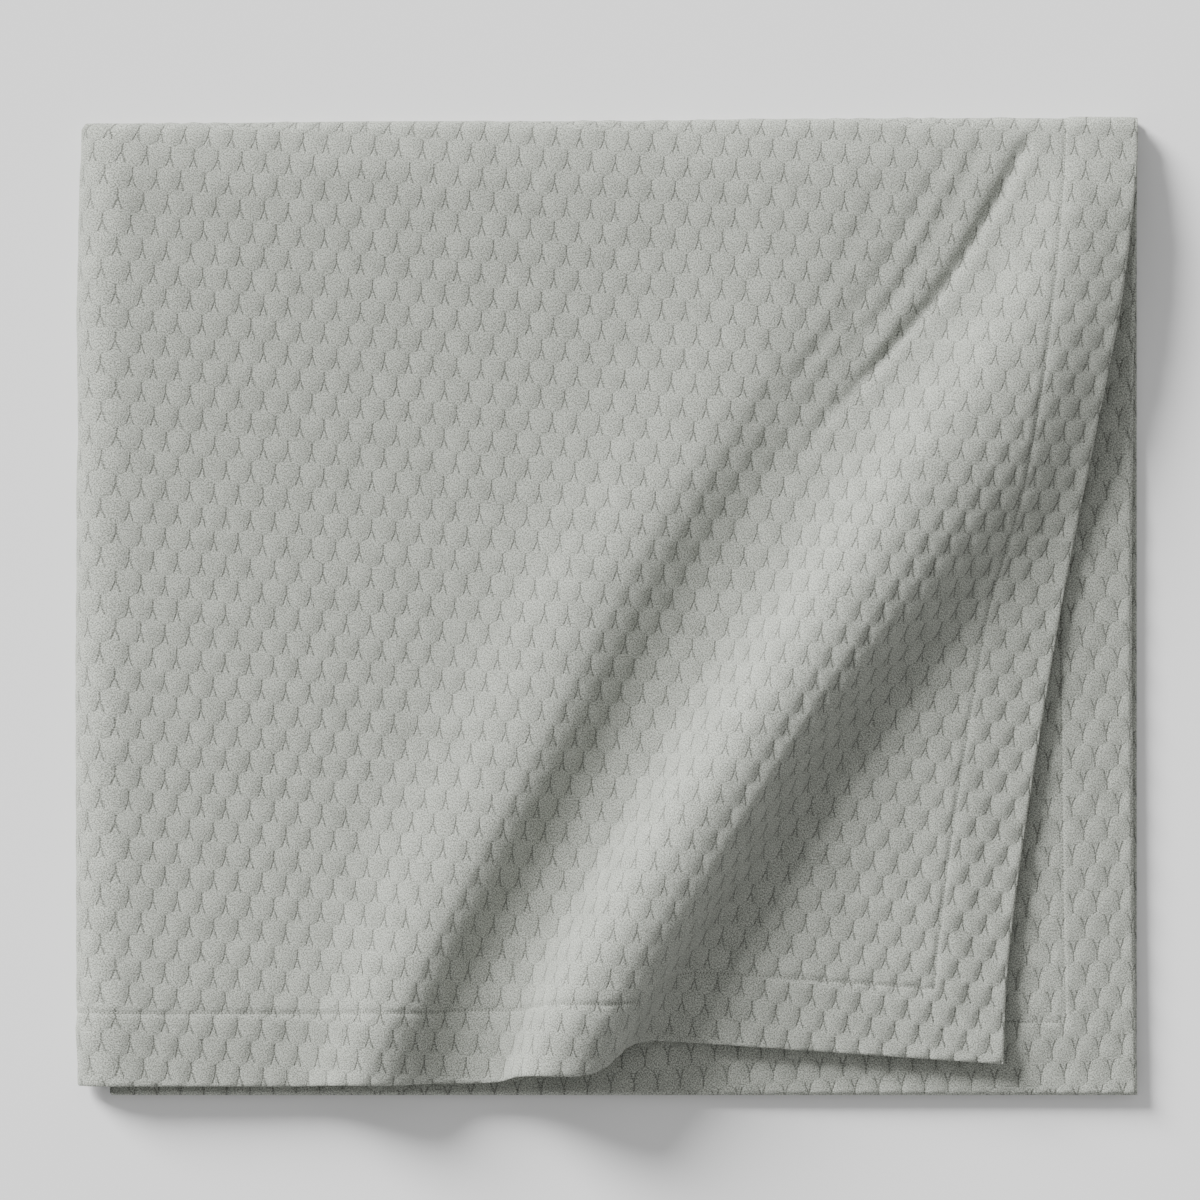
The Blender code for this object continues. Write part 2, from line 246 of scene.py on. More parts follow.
def quarter_ellipse(reach, height):
    """The length of a quarter of an ellipse."""
    outer = np.sqrt((3 * reach + height) * (reach + 3 * height))
    return np.pi / 4 * (3 * (reach + height) - outer)


def roll(along, reach, height):
    """Distance in from a fold's edge, and the share of its height, at a length along the cloth."""
    long = quarter_ellipse(reach, height)
    angle = np.pi / 2 * share(along, 0, long)
    return reach * (1 - np.cos(angle)) + np.maximum(along - long, 0), np.sin(angle)


def left_fold(across, tip_x, tip_z, front_z, back_z, front_roll, back_roll):
    """Place and height of the cloth as it rolls round the left fold."""
    front = across >= 0
    reach = np.where(front, front_roll, back_roll)
    level = np.where(front, front_z, back_z)
    inward, height = roll(np.abs(across), reach, np.abs(level - tip_z))
    far_inward, _ = roll(HALF_ACROSS + 0 * across, reach, np.abs(level - tip_z))
    room = RIGHT - tip_x
    return tip_x + inward * room / far_inward, tip_z + (level - tip_z) * height


def loft(across, down):
    """How far the layers part, away from the folds and away from the hems."""
    a, d = np.abs(across), np.abs(down)
    from_folds = ease(share(a, 0, LOFT_LENGTH)) * ease(share(d, 0, LOFT_LENGTH))
    from_side = ease(share(HALF_ACROSS - a, 0, LOFT_LENGTH))
    from_foot = ease(share(OUTER_DOWN - d, 0, LOFT_LENGTH))
    return from_folds, from_side * from_foot


def cloth_point(across, down):
    """The middle of the cloth's thickness, from the measures across and down from the two folds."""
    from_folds, from_hems = loft(across, down)
    uneven = 1 + 0.15 * undulation(across, down)
    open_front = settle(share(np.abs(across), 0, SETTLE_LEFT))
    open_front = open_front * settle(share(np.abs(down), 0, SETTLE_TOP))
    open_front = open_front * (0.55 + 0.45 * from_hems)
    inner_open = from_folds * from_hems * uneven
    opened = LOFT_AT_FOLD + (1 - LOFT_AT_FOLD) * open_front * uneven
    front_outer = FRONT_OUTER + LOFT_FRONT_OUTER * opened
    front_inner = FRONT_INNER + LOFT_FRONT_INNER * inner_open
    back_inner = BACK_INNER + LOFT_BACK_INNER * inner_open
    outer_tip = 0.45 * front_outer + 0.55 * BACK_OUTER
    inner_tip = (FRONT_INNER + BACK_INNER) / 2
    inset = INNER_INSET_TOP + (INNER_INSET_FOOT - INNER_INSET_TOP) * np.abs(down) / INNER_DOWN
    outer = left_fold(across, LEFT, outer_tip, front_outer, BACK_OUTER, LEFT_ROLL_FRONT, LEFT_ROLL_BACK)
    bend = LEFT_ROLL_INNER
    inner = left_fold(across, LEFT + inset, inner_tip, front_inner, back_inner, bend, bend)
    tip = [near + TIP_PLACE * (far - near) for near, far in zip(inner, outer)]

    is_outer = down >= 0
    x = np.where(is_outer, outer[0], inner[0])
    z = np.where(is_outer, outer[1], inner[1])
    apart = np.hypot(x - tip[0], z - tip[1])
    front_share = ease(share(across, -0.012, 0.040))
    corner_share = 1 - ease(share(np.abs(across), 0.0, 0.030))
    outer_reach = TOP_ROLL_BACK + (TOP_ROLL_FRONT - TOP_ROLL_BACK) * front_share
    inner_reach = TOP_ROLL_BACK + (TOP_ROLL_INNER_FRONT - TOP_ROLL_BACK) * front_share
    inner_reach = inner_reach + (TOP_ROLL_INNER_CORNER - inner_reach) * corner_share
    reach = np.minimum(np.where(is_outer, outer_reach, inner_reach), apart**2 / LEAST_BEND)
    inward, height = roll(np.abs(down), reach, apart)
    far_inward, _ = roll(np.where(is_outer, OUTER_DOWN, INNER_DOWN), reach, apart)
    x = tip[0] + (x - tip[0]) * height
    z = tip[1] + (z - tip[1]) * height
    y = TOP - inward * np.where(is_outer, OUTER_ROOM, INNER_ROOM) / far_inward

    rise, shift_left, shift_up = front_folds(across, down)
    lifted = is_outer * ease(share(across, 0.0, 0.10)) * ease(share(down, 0.0, 0.10))
    x = x - lifted * shift_left
    y = y + lifted * shift_up
    z = z + lifted * rise - is_outer * creased(across, down)
    behind = ease(share(-across, 0.0, 0.10))
    y = y + behind * BACK_SHORT * np.abs(down) / INNER_DOWN

    a, d = np.abs(across), np.abs(down)
    by_left = 1 - ease(share(a, 0.0, 0.30))
    by_right = ease(share(a, 0.70, 1.0)) * np.where(is_outer, 0, ease(share(d, 0.0, 0.15)))
    left_stray = by_left * np.interp(y, STRAY_AT, LEFT_STRAY)
    right_stray = by_right * np.interp(y, STRAY_AT, RIGHT_STRAY)
    x = x + left_stray + right_stray
    y = y + (1 - ease(share(d, 0.0, 0.40))) * np.interp(x, TOP_STRAY_AT, TOP_STRAY)
    return np.stack([x, y, z], axis=-1)


def cloth_normal(across, down, step=0.0004):
    """The direction out of the cloth's face."""
    along = cloth_point(across + step, down) - cloth_point(across - step, down)
    below = cloth_point(across, down + step) - cloth_point(across, down - step)
    normal = np.cross(below, along)
    return normal / np.linalg.norm(normal, axis=-1, keepdims=True)


def from_hem_edge(across, down):
    """The distance in from the nearest free edge."""
    below = np.where(down >= 0, OUTER_DOWN - down, INNER_DOWN + down)
    return np.minimum(HALF_ACROSS - np.abs(across), below)


def from_line(x, y, line):
    """The distance of a point from a straight line between two ends."""
    (x0, y0), (x1, y1) = line
    long = (x1 - x0) ** 2 + (y1 - y0) ** 2
    t = np.clip(((x - x0) * (x1 - x0) + (y - y0) * (y1 - y0)) / long, 0, 1)
    return np.hypot(x - x0 - t * (x1 - x0), y - y0 - t * (y1 - y0))


def puffed(across, down):
    """How far the quilting puffs up between its lines, from 0 to 1."""
    rows = (down - SKEW * across) / SCALE_PITCH
    row = np.floor(rows)
    y = (rows - row) * 1000 * SCALE_PITCH
    phase = across / (SCALE_PITCH / 2) + row + 1
    x = np.abs((phase + 1) % 2 - 1) * 500 * SCALE_PITCH
    strong = np.minimum(from_line(x, y, STEM), from_line(x, y, LEG))
    weak = np.minimum(from_line(x, y, ARC), from_line(ARC[1][0] - x, y + ARC[1][1], ARC))
    dip = [np.clip(1 - d / PUFF_REACH, 0, 1) ** 2 for d in (strong, weak)]
    return 1 - np.maximum(dip[0], ARC_WEIGHT * dip[1])


def fullness(across, down):
    """How much the quilting is pushed up, most where the drawn hem crowds it and least on the slopes."""
    crowded = ease(share(across, 0.70, 0.92)) * ease(share(down, 0.25, 0.60))
    low_left = (1 - ease(share(across, 0.25, 0.50))) * ease(share(down, 0.35, 0.80))
    beneath = ease(share(-down, 0.02, 0.10))
    uneven = 0.12 * undulation(3 * across, 3 * down)
    return 1 + 0.9 * crowded + 0.35 * low_left + 0.45 * beneath + uneven


def face_height(across, down):
    """The height of the face over the middle of the cloth: its puffs, the seam's trough, its edge."""
    edge = from_hem_edge(across, down)
    seam = np.exp(-(((edge - HEM_WIDTH) / SEAM_REACH) ** 2))
    relief = PUFF * fullness(across, down) * (puffed(across, down) - 0.55)
    height = CLOTH / 2 + relief * (1 - 0.6 * seam) - SEAM_DEPTH * seam
    height = height + 0.0006 * ease(share(HEM_WIDTH - edge, 0.002, 0.012))
    height = np.where((across < 0) & (down >= 0), np.minimum(height, CLOTH / 2), height)
    return height - (CLOTH / 2) * (1 - share(edge, 0, EDGE_ROUND)) ** 2


def reverse_depth(across, down):
    """The depth of the reverse under the middle of the cloth, quilted where the drawn corner bares it."""
    edge = from_hem_edge(across, down)
    at_side = ease(share(across, 0.94, 0.98))
    at_foot = ease(share(-down, 0.94, 0.98)) * ease(share(across, 0.0, 0.06))
    bared = ease(share(-down, 0.12, 0.20)) * np.maximum(at_side, at_foot)
    seam = np.exp(-(((edge - HEM_WIDTH) / SEAM_REACH) ** 2))
    relief = PUFF * fullness(across, down) * (puffed(across, down) - 0.55) * (1 - 0.6 * seam)
    turned_under = HEM_TURN * ease(share(HEM_WIDTH - edge, -0.001, 0.003))
    inside = 1 - 0.75 * (1 - share(edge, 0, EDGE_ROUND)) ** 2
    shaped = turned_under + bared * (relief - 0.3 * SEAM_DEPTH * seam)
    return inside * CLOTH / 2 + shaped * share(edge, 0, EDGE_ROUND)


def cut_lines(behind, half, behind_half, fold_lines, fine_step, first_fine):
    """Where the sheet is cut across one way, with extra lines at the hem's seam and at its edge."""
    near_seam = (-0.0045, -0.002, 0.0, 0.002, 0.0045)
    near_edge = (0.0040, 0.0022, 0.0009, 0.0)
    fine = np.arange(first_fine, half - 0.006, fine_step)
    seam = [half - HEM_WIDTH + d for d in near_seam]
    fine = fine[np.abs(fine - seam[2]) > 0.0045 + 0.3 * fine_step]
    folds = [-line for line in fold_lines] + [0.0] + list(fold_lines)
    back = [HEM_WIDTH - behind_half + d for d in near_seam]
    back_edge = [d - behind_half for d in near_edge]
    hidden = np.arange(0.006 - behind_half, -max(fold_lines) - 0.4 * behind, behind)
    hidden = hidden[np.abs(hidden - back[2]) > 0.0045 + 0.3 * behind]
    lines = list(fine) + seam + [half - d for d in near_edge] + folds + back + back_edge + list(hidden)
    return np.array(sorted(lines))


BENDS = (0.0006, 0.0012, 0.0018, 0.0025, 0.0035, 0.0048, 0.0065)
fold_lines = BENDS + tuple(np.arange(3, 11) * SCALE_PITCH / 8)
EIGHTH = SCALE_PITCH / 8
columns = cut_lines(SCALE_PITCH / 2, HALF_ACROSS, HALF_ACROSS, fold_lines, EIGHTH, 11 * EIGHTH)
rows = cut_lines(SCALE_PITCH / 4, OUTER_DOWN, INNER_DOWN, fold_lines, SCALE_PITCH / 5, 0.0370)
across, down = np.meshgrid(columns, rows, indexing="ij")
middle = cloth_point(across, down)
normal = cloth_normal(across, down)
face = middle + normal * face_height(across, down)[..., None]
reverse = middle - normal * reverse_depth(across, down)[..., None]

many, per_line = len(columns) * len(rows), len(rows)
index = np.arange(many).reshape(len(columns), len(rows))
corners = [index[:-1, :-1], index[:-1, 1:], index[1:, 1:], index[1:, :-1]]
face_quads = np.stack([c.ravel() for c in corners], axis=1)
ring = np.concatenate([index[:-1, 0], index[-1, :-1], index[:0:-1, -1], index[0, :0:-1]])
ahead = np.roll(ring, -1)
rim_quads = np.stack([ring, ahead, ahead + many, ring + many], axis=1)
quads = np.concatenate([face_quads, face_quads[:, ::-1] + many, rim_quads])
points = np.concatenate([face.reshape(-1, 3), reverse.reshape(-1, 3)])
node_low, node_high = (np.array(corner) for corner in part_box("coverlet"))
place = (node_low + node_high) / 2 - (points.min(axis=0) + points.max(axis=0)) / 2
place[2] = 0.0
points = points + place

mesh = bpy.data.meshes.new("quilted_cloth")
mesh.from_pydata(points.tolist(), [], quads.tolist())
cloth = bpy.data.objects.new("quilted_cloth", mesh)
bpy.context.scene.collection.objects.link(cloth)

# The cloth's own measure, in metres from the two folds, is kept as its UV map for the quilting
flat_cloth = np.stack([across.ravel(), down.ravel()], axis=1)
flat_cloth = np.concatenate([flat_cloth, flat_cloth])
corner_points = np.empty(len(mesh.loops), np.int32)
mesh.loops.foreach_get("vertex_index", corner_points)
uv = mesh.uv_layers.new(name="flat_cloth")
uv.data.foreach_set("uv", flat_cloth[corner_points].astype(np.float32).ravel())

# The hidden sides and layers are thinned. The front face stays fine, and the reverse where it is bared.
at_hem = from_hem_edge(across, down) < EDGE_ROUND
shown = (across > 0.004) & (down > 0.004)
bared = (down < -0.15) & ((across > 0.96) | ((across > 0.03) & (down < -0.96)))
hidden = np.where(at_hem, 0.4, 1.0)
weight = np.stack([np.where(shown, 0.0, hidden), np.where(bared, 0.0, hidden)]).ravel()
plain = cloth.vertex_groups.new(name="plain")
for level in (0.4, 1.0):
    plain.add(np.flatnonzero(weight == level).tolist(), level, "REPLACE")
bpy.context.view_layer.objects.active = cloth
thinning = cloth.modifiers.new("thinning", "DECIMATE")
thinning.ratio = TRIANGLES / (2 * len(quads))
thinning.vertex_group = "plain"
bpy.ops.object.modifier_apply(modifier="thinning")
cloth.data.shade_smooth()


# The cotton.
# A heathered pale grey-green cotton yarn, woven matt, with the quilting drawn in by a sunk line of small
# stitches, whose lines carry painted shade in the colour. Its pattern follows the cloth's own measure, so it
# bends with the folds.
def new_group(name, inputs, outputs):
    group = bpy.data.node_groups.new(name, "ShaderNodeTree")
    for label, kind in inputs:
        group.interface.new_socket(label, in_out="INPUT", socket_type=kind)
    for label, kind in outputs:
        group.interface.new_socket(label, in_out="OUTPUT", socket_type=kind)
    return group, group.nodes.new("NodeGroupInput"), group.nodes.new("NodeGroupOutput")


def add_node(tree, kind, links=(), **settings):
    """A node with its settings, and its inputs set to values or linked to sockets."""
    node = tree.nodes.new(kind)
    for name, value in settings.items():
        setattr(node, name, value)
    for slot, value in links:
        if isinstance(value, bpy.types.NodeSocket):
            tree.links.new(value, node.inputs[slot])
        else:
            node.inputs[slot].default_value = value
    return node


def maths(tree, operation, *values):
    """The result of one sum on values or sockets."""
    return add_node(tree, "ShaderNodeMath", list(enumerate(values)), operation=operation).outputs[0]


def vector_maths(tree, operation, first, second):
    """The result of one sum on vectors: a vector, or a value for a dot product or a distance."""
    slot = "Scale" if operation == "SCALE" else 1
    links = [(0, first), (slot, second)]
    node = add_node(tree, "ShaderNodeVectorMath", links, operation=operation)
    return node.outputs["Value" if operation in ("DOT_PRODUCT", "DISTANCE") else "Vector"]


def ramp(tree, value, low, high, out_low=0.0, out_high=1.0):
    """A value eased from out_low to out_high as it goes from low to high."""
    links = [
        ("Value", value), ("From Min", low), ("From Max", high), ("To Min", out_low), ("To Max", out_high),
    ]
    node = add_node(tree, "ShaderNodeMapRange", links, interpolation_type="SMOOTHSTEP")
    return node.outputs["Result"]


def line_group():
    """Distance from one straight quilting line, in millimetres."""
    group, given, out = new_group(
        "quilting_line",
        [("Point", "NodeSocketVector"), ("Start", "NodeSocketVector"), ("End", "NodeSocketVector")],
        [("Distance", "NodeSocketFloat")],
    )
    offset = vector_maths(group, "SUBTRACT", given.outputs["Point"], given.outputs["Start"])
    run = vector_maths(group, "SUBTRACT", given.outputs["End"], given.outputs["Start"])
    dots = [vector_maths(group, "DOT_PRODUCT", first, run) for first in (offset, run)]
    part = maths(group, "MINIMUM", maths(group, "MAXIMUM", maths(group, "DIVIDE", *dots), 0.0), 1.0)
    foot = vector_maths(group, "SCALE", run, part)
    group.links.new(vector_maths(group, "DISTANCE", offset, foot), out.inputs["Distance"])
    return group


def quilting_group(line):
    """The two weights of quilting line at a point of the flat cloth: stems and legs, and arcs."""
    group, given, out = new_group(
        "quilting",
        [("Flat cloth", "NodeSocketVector")],
        [("Strong line", "NodeSocketFloat"), ("Faint line", "NodeSocketFloat"), ("Down", "NodeSocketFloat")],
    )
    where = add_node(group, "ShaderNodeSeparateXYZ", [(0, given.outputs["Flat cloth"])]).outputs
    sloped = maths(group, "SUBTRACT", where["Y"], maths(group, "MULTIPLY", where["X"], SKEW))
    rows_down = maths(group, "DIVIDE", sloped, SCALE_PITCH)
    row = maths(group, "FLOOR", rows_down)
    y = maths(group, "MULTIPLY", maths(group, "SUBTRACT", rows_down, row), 1000 * SCALE_PITCH)
    half_scales = maths(group, "DIVIDE", where["X"], SCALE_PITCH / 2)
    phase = maths(group, "ADD", half_scales, maths(group, "ADD", row, 1.0))
    x = maths(group, "MULTIPLY", maths(group, "PINGPONG", phase, 1.0), 500 * SCALE_PITCH)
    here = add_node(group, "ShaderNodeCombineXYZ", [("X", x), ("Y", y)]).outputs[0]
    above = add_node(group, "ShaderNodeCombineXYZ", [
        ("X", maths(group, "SUBTRACT", ARC[1][0], x)),
        ("Y", maths(group, "ADD", y, ARC[1][1])),
    ]).outputs[0]
    distances = []
    for point, (start, end) in ((here, STEM), (here, LEG), (here, ARC), (above, ARC)):
        node = add_node(group, "ShaderNodeGroup", node_tree=line)
        group.links.new(point, node.inputs["Point"])
        node.inputs["Start"].default_value = (*start, 0.0)
        node.inputs["End"].default_value = (*end, 0.0)
        distances.append(node.outputs["Distance"])
    group.links.new(maths(group, "MINIMUM", *distances[:2]), out.inputs["Strong line"])
    group.links.new(maths(group, "MINIMUM", *distances[2:]), out.inputs["Faint line"])
    group.links.new(y, out.inputs["Down"])
    return group


def yarn_group():
    """Flecks of lighter and darker yarn, and the height of the weave, from a point in millimetres."""
    group, given, out = new_group(
        "yarn",
        [("Point", "NodeSocketVector"), ("Pitch", "NodeSocketFloat")],
        [("Fleck", "NodeSocketFloat"), ("Height", "NodeSocketFloat")],
    )
    per_yarn = maths(group, "DIVIDE", 1.0, given.outputs["Pitch"])
    scaled = vector_maths(group, "SCALE", given.outputs["Point"], per_yarn)
    flecks = []
    for stretch in ((0.55, 1.0, 1.0), (1.1, 0.5, 1.0)):
        drawn = vector_maths(group, "MULTIPLY", scaled, stretch)
        noise = add_node(group, "ShaderNodeTexNoise", [("Vector", drawn), ("Scale", 1.0), ("Detail", 2.0)])
        flecks.append(noise.outputs["Fac"])
    fleck = maths(group, "MULTIPLY", maths(group, "ADD", *flecks), 0.5)
    place = add_node(group, "ShaderNodeSeparateXYZ", [(0, scaled)]).outputs
    turns = [maths(group, "MULTIPLY", place[axis], 2 * math.pi) for axis in ("X", "Y")]
    waves = [maths(group, "SINE", turn) for turn in turns]
    weave = maths(group, "MULTIPLY", maths(group, "MULTIPLY", *waves), 0.35)
    group.links.new(fleck, out.inputs["Fleck"])
    group.links.new(maths(group, "ADD", weave, fleck), out.inputs["Height"])
    return group


def seam_group():
    """The row of needle holes along each seam of the hem, from a point of the flat cloth."""
    group, given, out = new_group(
        "needle_holes",
        [("Flat cloth", "NodeSocketVector"), ("Pitch", "NodeSocketFloat"), ("Reach", "NodeSocketFloat")],
        [("Hole", "NodeSocketFloat"), ("Trough", "NodeSocketFloat")],
    )
    where = add_node(group, "ShaderNodeSeparateXYZ", [(0, given.outputs["Flat cloth"])]).outputs
    from_side = maths(group, "SUBTRACT", maths(group, "ABSOLUTE", where["X"]), HALF_ACROSS - HEM_WIDTH)
    middle = (OUTER_DOWN - INNER_DOWN) / 2
    off_middle = maths(group, "ABSOLUTE", maths(group, "SUBTRACT", where["Y"], middle))
    from_ends = maths(group, "SUBTRACT", off_middle, OUTER_DOWN - middle - HEM_WIDTH)
    found = []
    for away, past, along in ((from_side, from_ends, where["Y"]), (from_ends, from_side, where["X"])):
        distance = maths(group, "DIVIDE", maths(group, "ABSOLUTE", away), given.outputs["Reach"])
        inside = maths(group, "LESS_THAN", past, 0.001)
        line = maths(group, "MULTIPLY", ramp(group, distance, 0.0, 1.0, 1.0, 0.0), inside)
        beat = maths(group, "PINGPONG", maths(group, "DIVIDE", along, given.outputs["Pitch"]), 0.5)
        found.append((maths(group, "MULTIPLY", line, ramp(group, beat, 0.12, 0.3, 1.0, 0.25)), line))
    group.links.new(maths(group, "MAXIMUM", found[0][0], found[1][0]), out.inputs["Hole"])
    group.links.new(maths(group, "MAXIMUM", found[0][1], found[1][1]), out.inputs["Trough"])
    return group


YARN_PITCH = 0.95
THREAD_TWIST = 0.35
STITCH_PITCH = 0.00385
COTTON_LIGHT = (0.630, 0.655, 0.590, 1.0)
COTTON_MID = (0.388, 0.405, 0.359, 1.0)
COTTON_DARK = (0.200, 0.211, 0.184, 1.0)
# The near-black colour of the painted shade along the quilting lines and the hem's needle holes
LINE_PAINTED_SHADE = (0.090, 0.094, 0.080, 1.0)

cotton = bpy.data.materials.new("woven_cotton")
cotton.use_nodes = True
tree = cotton.node_tree
shader = tree.nodes["Principled BSDF"]
shader.inputs["Sheen Weight"].default_value = 0.12
shader.inputs["Sheen Roughness"].default_value = 0.6
shader.inputs["Specular IOR Level"].default_value = 0.18
measure = add_node(tree, "ShaderNodeUVMap", uv_map="flat_cloth").outputs["UV"]
in_mm = vector_maths(tree, "SCALE", measure, 1000.0)

# The quilting lines wander a little off their drawn places
LINE_WANDER = 0.0022
wander = add_node(tree, "ShaderNodeTexNoise", [("Vector", in_mm), ("Scale", 0.11), ("Detail", 2.0)])
pulled = vector_maths(tree, "SUBTRACT", wander.outputs["Color"], (0.5, 0.5, 0.5))
pulled = vector_maths(tree, "SCALE", pulled, LINE_WANDER)
drawn_measure = vector_maths(tree, "ADD", measure, pulled)

quilting = add_node(tree, "ShaderNodeGroup", node_tree=quilting_group(line_group()))
tree.links.new(drawn_measure, quilting.inputs["Flat cloth"])
yarn = add_node(tree, "ShaderNodeGroup", node_tree=yarn_group())
tree.links.new(in_mm, yarn.inputs["Point"])
yarn.inputs["Pitch"].default_value = YARN_PITCH

# Painted shade: the quilting lines are darkened in the colour, standing in for shade in their sunk grooves;
# the bump below gives the grooves their relief.
strong = ramp(tree, quilting.outputs["Strong line"], 0.15, 1.5, 1.0, 0.0)
faint = ramp(tree, quilting.outputs["Faint line"], 0.0, 1.1, 1.0, 0.0)
stitch_wave = maths(tree, "SINE", maths(tree, "MULTIPLY", quilting.outputs["Down"], 2 * math.pi / 2.6))
stitch_gap = ramp(tree, stitch_wave, -0.7, 0.6, 0.55, 1.0)
patchy = ramp(tree, yarn.outputs["Fleck"], 0.42, 0.58, 1.0, 0.6)
strong_line_shade = maths(tree, "MULTIPLY", maths(tree, "MULTIPLY", strong, stitch_gap), patchy)
faint_line_shade = maths(tree, "MULTIPLY", maths(tree, "MULTIPLY", faint, 0.15), patchy)
# Painted shade: the needle holes along the hem's seam are darkened in the colour, for the shade inside them.
holes = add_node(tree, "ShaderNodeGroup", node_tree=seam_group())
tree.links.new(measure, holes.inputs["Flat cloth"])
holes.inputs["Pitch"].default_value = STITCH_PITCH
holes.inputs["Reach"].default_value = 0.0016
hole_painted_shade = maths(tree, "MULTIPLY", holes.outputs["Hole"], 0.8)
painted_line_shade = maths(tree, "MAXIMUM", maths(tree, "MAXIMUM", strong_line_shade, faint_line_shade), hole_painted_shade)

mottle = add_node(tree, "ShaderNodeTexNoise", [("Vector", in_mm), ("Scale", 0.035), ("Detail", 3.0)])
off_even = maths(tree, "SUBTRACT", mottle.outputs["Fac"], 0.5)
fleck = ramp(tree, yarn.outputs["Fleck"], 0.415, 0.585)
fleck = maths(tree, "ADD", fleck, maths(tree, "MULTIPLY", off_even, 0.5))
tint = add_node(tree, "ShaderNodeValToRGB", [("Fac", fleck)])
tint.color_ramp.elements[0].color = COTTON_DARK
tint.color_ramp.elements[1].color = COTTON_LIGHT
tint.color_ramp.elements.new(0.5).color = COTTON_MID
# Painted shade: the cotton's colour is mixed towards the near-black line colour along the quilting lines and
# needle holes.
painted_shade_mix = add_node(tree, "ShaderNodeMix", [
    ("Factor", maths(tree, "MULTIPLY", painted_line_shade, 0.95)),
    ("A", tint.outputs["Color"]),
    ("B", LINE_PAINTED_SHADE),
], data_type="RGBA")
tree.links.new(painted_shade_mix.outputs["Result"], shader.inputs["Base Color"])
tree.links.new(ramp(tree, yarn.outputs["Fleck"], 0.3, 0.7, 0.95, 0.78), shader.inputs["Roughness"])

groove = maths(tree, "ADD", maths(tree, "MULTIPLY", strong, 0.75), maths(tree, "MULTIPLY", faint, 0.3))
height = maths(tree, "SUBTRACT", maths(tree, "MULTIPLY", yarn.outputs["Height"], 0.5), groove)
bump = add_node(tree, "ShaderNodeBump", [("Height", height), ("Distance", 0.0014), ("Strength", 0.8)])
tree.links.new(bump.outputs["Normal"], shader.inputs["Normal"])
cloth.data.materials.append(cotton)

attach(cloth, "root")
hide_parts("coverlet")


# The hem's topstitching.
# A single row of cotton thread of the cloth's own colour, sewn through face and turned hem on all
# four sides. The rows meet in an L at each corner, and each stitch lies sunk in the seam's trough.
STITCH_LONG = 0.0028
THREAD = 0.00042
BESIDE = 0.0004
RING_SIDES = 5
RINGS = ((-0.5, 0.35, -0.6), (-0.3, 1.0, 0.3), (0.3, 1.0, 0.3), (0.5, 0.35, -0.6))


def stitch_centres():
    """Places in the flat cloth along the four rows, with the way that each row runs."""
    side, foot, head = HALF_ACROSS - HEM_WIDTH, OUTER_DOWN - HEM_WIDTH, HEM_WIDTH - INNER_DOWN
    found = []
    runs = ((head, foot, (side, -side), True), (-side, side, (foot, head), False))
    for start, end, lines, is_down in runs:
        for line in lines:
            for count in range(math.ceil(start / STITCH_PITCH), math.floor(end / STITCH_PITCH)):
                step = (count + 0.5) * STITCH_PITCH
                found.append((line, step, 0.0, 1.0) if is_down else (step, line, 1.0, 0.0))
    return np.array(found)


def face_point(across, down):
    """A point on the cloth's quilted face."""
    height = face_height(across, down)[..., None]
    return cloth_point(across, down) + cloth_normal(across, down) * height


centres = stitch_centres()
rings = []
for along, wide, sunk in RINGS:
    a = centres[:, 0] + centres[:, 2] * along * STITCH_LONG
    d = centres[:, 1] + centres[:, 3] * along * STITCH_LONG
    out = cloth_normal(a, d)
    beside = face_point(a + centres[:, 3] * BESIDE, d + centres[:, 2] * BESIDE)
    sideways = beside - face_point(a, d)
    sideways = sideways / np.linalg.norm(sideways, axis=-1, keepdims=True)
    core = face_point(a, d) + out * THREAD * sunk
    angles = np.arange(RING_SIDES) * 2 * np.pi / RING_SIDES
    rings.append(np.stack([
        core + (sideways * math.cos(t) + out * math.sin(t)) * THREAD * wide for t in angles
    ], axis=1))
thread_points = np.stack(rings, axis=1).reshape(-1, 3) + place
per_stitch = len(RINGS) * RING_SIDES
faces = []
for ring_number in range(len(RINGS) - 1):
    for k in range(RING_SIDES):
        near = ring_number * RING_SIDES
        far = near + RING_SIDES
        following = (k + 1) % RING_SIDES
        faces.append((near + k, near + following, far + following, far + k))
ends = [tuple(range(RING_SIDES))[::-1], tuple(range(per_stitch - RING_SIDES, per_stitch))]
starts = np.arange(len(centres)) * per_stitch
all_faces = [tuple(v + s for v in shape) for s in starts.tolist() for shape in faces + ends]
mesh = bpy.data.meshes.new("hem_stitching")
mesh.from_pydata(thread_points.tolist(), [], all_faces)
stitching = bpy.data.objects.new("hem_stitching", mesh)
bpy.context.scene.collection.objects.link(stitching)
bpy.context.view_layer.objects.active = stitching
stitching.select_set(True)
bpy.ops.object.mode_set(mode="EDIT")
bpy.ops.mesh.select_all(action="SELECT")
bpy.ops.mesh.normals_make_consistent(inside=False)
bpy.ops.object.mode_set(mode="OBJECT")
bpy.ops.object.select_all(action="DESELECT")
stitching.data.shade_smooth()

thread = bpy.data.materials.new("sewing_thread")
thread.use_nodes = True
tree = thread.node_tree
shader = tree.nodes["Principled BSDF"]
shader.inputs["Specular IOR Level"].default_value = 0.3
where = add_node(tree, "ShaderNodeTexCoord").outputs["Object"]
in_mm = vector_maths(tree, "SCALE", where, 1000.0)
twist = add_node(tree, "ShaderNodeGroup", node_tree=bpy.data.node_groups["yarn"])
tree.links.new(in_mm, twist.inputs["Point"])
twist.inputs["Pitch"].default_value = THREAD_TWIST
tint = add_node(tree, "ShaderNodeValToRGB", [("Fac", ramp(tree, twist.outputs["Fleck"], 0.3, 0.7))])
tint.color_ramp.elements[0].color = COTTON_MID
tint.color_ramp.elements[1].color = COTTON_LIGHT
tree.links.new(tint.outputs["Color"], shader.inputs["Base Color"])
tree.links.new(ramp(tree, twist.outputs["Fleck"], 0.3, 0.7, 0.8, 0.55), shader.inputs["Roughness"])
bump = add_node(tree, "ShaderNodeBump", [("Height", twist.outputs["Height"]), ("Distance", 0.0001)])
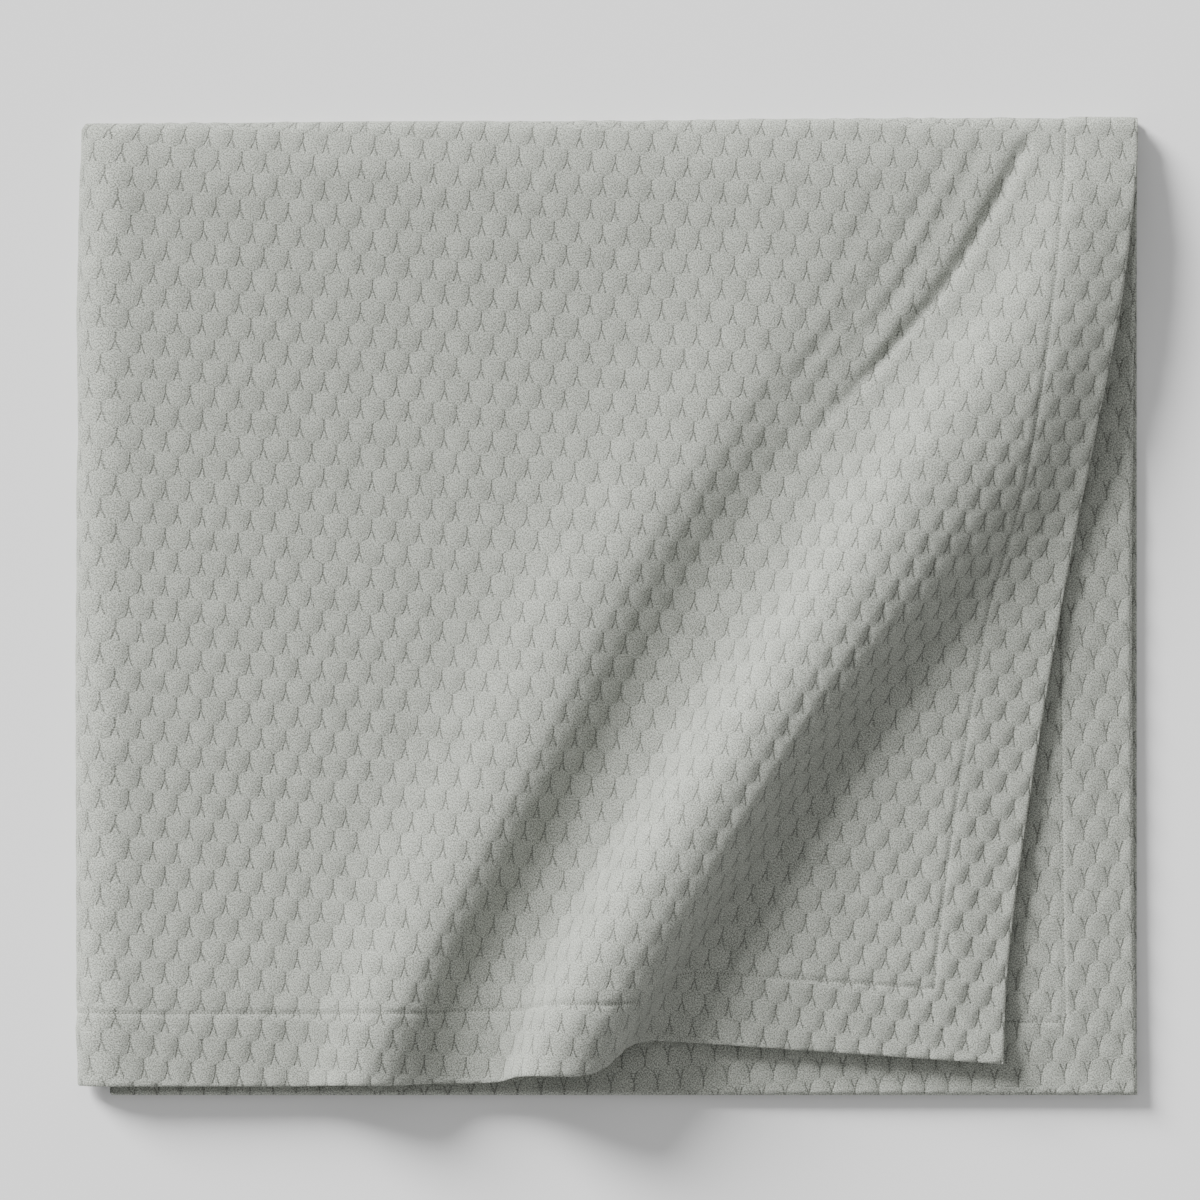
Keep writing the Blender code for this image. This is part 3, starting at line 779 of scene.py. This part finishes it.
tree.links.new(bump.outputs["Normal"], shader.inputs["Normal"])
stitching.data.materials.append(thread)

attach(stitching, "root")


# The floor, the light and the camera.
# A plain pale floor, a broad soft lamp low at the upper left, an even white surround, and a long
# lens straight above. The photograph's frame is taken to be 1200 pixels square.
PHOTO_PIXELS = 1200
PIXEL = 0.00108
MIDDLE_ACROSS = 606
MIDDLE_DOWN = 606
CAMERA_HEIGHT = 10.0
SENSOR = 0.036
KEY_AZIMUTH = 135
KEY_HEIGHT = 22
KEY_SPREAD = 24
KEY_STRENGTH = 8.6
SURROUND = 0.48

bpy.ops.mesh.primitive_plane_add(size=12.0, location=(0, 0, -0.0003))
floor = bpy.context.object
floor.name = "floor"
paper = bpy.data.materials.new("pale_floor")
paper.use_nodes = True
paper.node_tree.nodes["Principled BSDF"].inputs["Base Color"].default_value = (0.96, 0.96, 0.96, 1)
paper.node_tree.nodes["Principled BSDF"].inputs["Roughness"].default_value = 0.9
floor.data.materials.append(paper)

azimuth, elevation = math.radians(KEY_AZIMUTH), math.radians(KEY_HEIGHT)
bpy.ops.object.light_add(type="SUN", location=(-2, 1.5, 2))
key = bpy.context.object
key.data.energy = KEY_STRENGTH
key.data.angle = math.radians(KEY_SPREAD)
key.rotation_euler = (0, math.pi / 2 - elevation, azimuth)
world = bpy.data.worlds.new("studio")
world.use_nodes = True
world.node_tree.nodes["Background"].inputs["Color"].default_value = (1, 1, 1, 1)
world.node_tree.nodes["Background"].inputs["Strength"].default_value = SURROUND
bpy.context.scene.world = world

centre_x = (PHOTO_PIXELS / 2 - MIDDLE_ACROSS) * PIXEL
centre_y = (MIDDLE_DOWN - PHOTO_PIXELS / 2) * PIXEL
bpy.ops.object.camera_add(location=(centre_x, centre_y, CAMERA_HEIGHT))
camera = bpy.context.object
camera.data.sensor_width = 1000 * SENSOR
camera.data.lens = 1000 * SENSOR * CAMERA_HEIGHT / (PHOTO_PIXELS * PIXEL)
camera.data.clip_end = 100
bpy.context.scene.camera = camera
